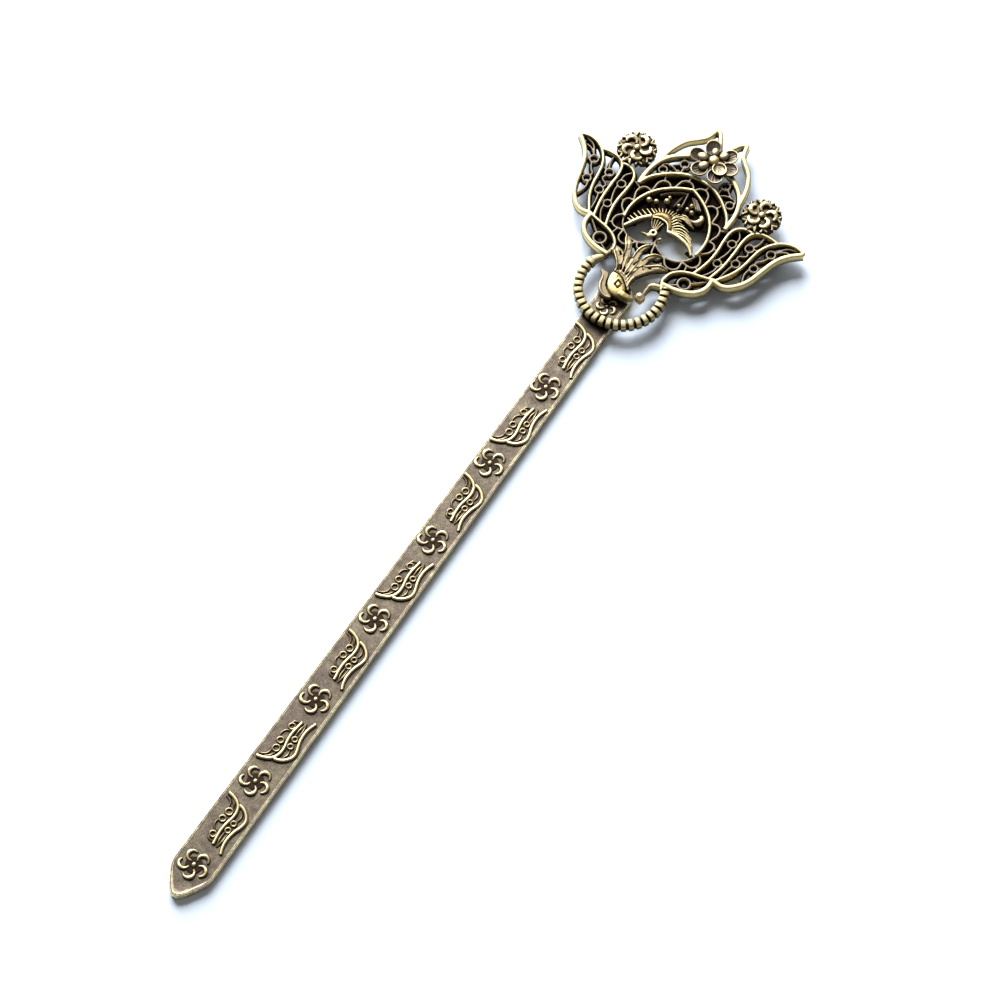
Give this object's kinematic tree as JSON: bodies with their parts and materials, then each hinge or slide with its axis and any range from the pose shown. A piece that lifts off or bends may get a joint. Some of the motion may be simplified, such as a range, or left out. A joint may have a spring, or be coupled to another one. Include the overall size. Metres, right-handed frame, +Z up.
{
  "type": "hair stick",
  "caption": "Flat single-blade hair stick with cast floral relief and a pierced head that holds a long-necked bird's head, a small flying bird, a blossom and round flowers.",
  "frame": {"origin": "centre of the bounding box in plan, on the plane that the blade's underside rests on", "axes": "+Y from the point to the head, +X across to the right as seen from above, +Z up from the underside"},
  "size_m": [0.0474, 0.1756, 0.0046],
  "materials": {
    "blade_bronze": "antique bronze plate, purplish brown field, worn brassy on edges and relief",
    "openwork_bronze": "antique bronze plate, pale worn tops and near-black recesses",
    "bird_bronze": "antique bronze plate, brushed golden tops",
    "blossom_bronze": "antique bronze plate, smooth worn petals",
    "rosette_bronze": "antique bronze plate, dark with worn curls"
  },
  "bodies": {
    "root": {"blade": "blade_bronze", "openwork_head": "openwork_bronze", "phoenix_head": "bird_bronze", "crane": "bird_bronze", "blossom": "blossom_bronze", "rosette_left": "rosette_bronze", "rosette_right": "rosette_bronze"}
  },
  "joints": []
}
